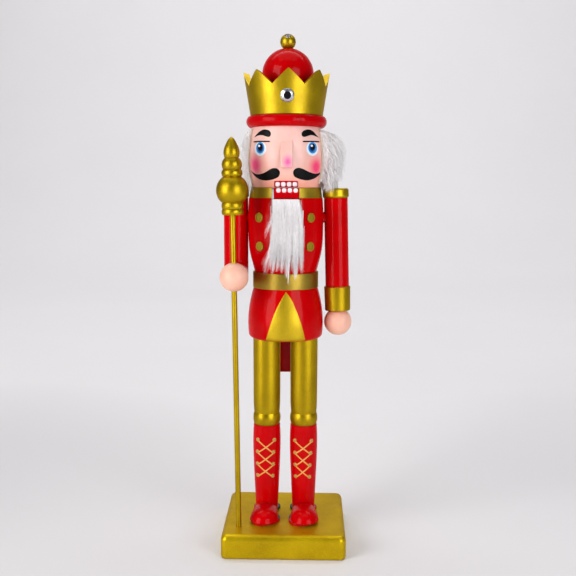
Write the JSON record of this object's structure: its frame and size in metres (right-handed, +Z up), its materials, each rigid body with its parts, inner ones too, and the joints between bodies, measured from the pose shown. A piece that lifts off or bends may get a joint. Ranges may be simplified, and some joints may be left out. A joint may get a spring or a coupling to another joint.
{
  "type": "nutcracker figure",
  "caption": "Standing wooden nutcracker king on a block base, with a gold crown, a staff in one hand, a fur beard and a lever at the back that works the jaw.",
  "frame": {"origin": "centre of the base's underside, on the surface the figure stands on", "axes": "+Z up, the figure faces -Y, its left arm is at +X"},
  "size_m": [0.0987, 0.095, 0.3799],
  "materials": {
    "base_gold": "gold lacquer, satin",
    "boot_red": "red gloss lacquer",
    "sole_black": "black satin paint",
    "trouser_gold": "gold lacquer, satin",
    "skirt_red": "red gloss lacquer with a gold panel",
    "belt_gold": "brushed gold strap",
    "torso_red": "red gloss lacquer",
    "collar_gold": "gold lacquer, satin",
    "button_gold": "gilt studs",
    "lever_red": "red gloss lacquer",
    "pin_steel": "bright wire",
    "bare_wood": "plain beech dowel",
    "beard_fur": "white long-pile fur",
    "hair_fur": "white long-pile fur",
    "face_skin": "satin skin-tone paint with painted features",
    "hand_skin": "satin skin-tone paint",
    "hat_red": "red gloss lacquer",
    "crown_gold": "gold lacquer, satin",
    "gem_clear": "foil-backed rhinestone",
    "sleeve_red": "red gloss lacquer",
    "cuff_gold": "gold lacquer, satin",
    "staff_gold": "gold lacquer, satin",
    "screw_steel": "zinc-plated wood screw"
  },
  "bodies": {
    "figure": {"base": "base_gold", "base_screws": "screw_steel", "boot_sole_left": "sole_black", "boot_sole_right": "sole_black", "boot_toe_left": "boot_red", "boot_toe_right": "boot_red", "boot_left": "boot_red", "boot_right": "boot_red", "trouser_leg_left": "trouser_gold", "trouser_leg_right": "trouser_gold", "skirt": "skirt_red", "belt": "belt_gold", "waist_dowel": "bare_wood", "torso": "torso_red", "collar_left": "collar_gold", "collar_right": "collar_gold", "coat_buttons": "button_gold", "lever_pin": "pin_steel", "neck_dowels": "bare_wood", "head": "face_skin", "nose": "face_skin", "hair": "hair_fur", "hat_dowel": "bare_wood", "hat_brim": "hat_red", "crown": "crown_gold", "crown_gem": "gem_clear", "crown_dome": "hat_red", "dome_bead": "crown_gold", "bead_gem": "gem_clear", "shoulder_dowel_left": "bare_wood", "shoulder_dowel_right": "bare_wood", "epaulette_right": "cuff_gold", "upper_arm_right": "sleeve_red", "forearm_right": "sleeve_red", "elbow_dowel": "bare_wood", "wrist_dowel_right": "bare_wood", "hand_right": "hand_skin", "staff_rod": "staff_gold", "staff_finial": "staff_gold"},
    "jaw_lever": {"jaw_lever": "lever_red"},
    "beard": {"beard": "beard_fur"},
    "left_arm": {"sleeve_left": "sleeve_red", "cuff_left": "cuff_gold", "epaulette_left": "cuff_gold", "wrist_dowel_left": "bare_wood", "hand_left": "hand_skin"}
  },
  "joints": [
    {"name": "lever_hinge", "type": "hinge", "parent": "figure", "child": "jaw_lever", "pos_m": [0, 0.008, 0.243], "axis": [1, 0, 0], "range_deg": [0, 25]},
    {"name": "beard_hang", "type": "hinge", "parent": "jaw_lever", "child": "beard", "pos_m": [0, -0.02215, 0.2605], "axis": [1, 0, 0], "range_deg": [-25, 0]},
    {"name": "left_shoulder", "type": "hinge", "parent": "figure", "child": "left_arm", "pos_m": [0.0377, 0.005, 0.246], "axis": [-1, 0, 0], "range_deg": [-45, 120]}
  ],
  "couplings": [
    {"joint": "beard_hang", "follows": "lever_hinge", "ratio": -1}
  ]
}
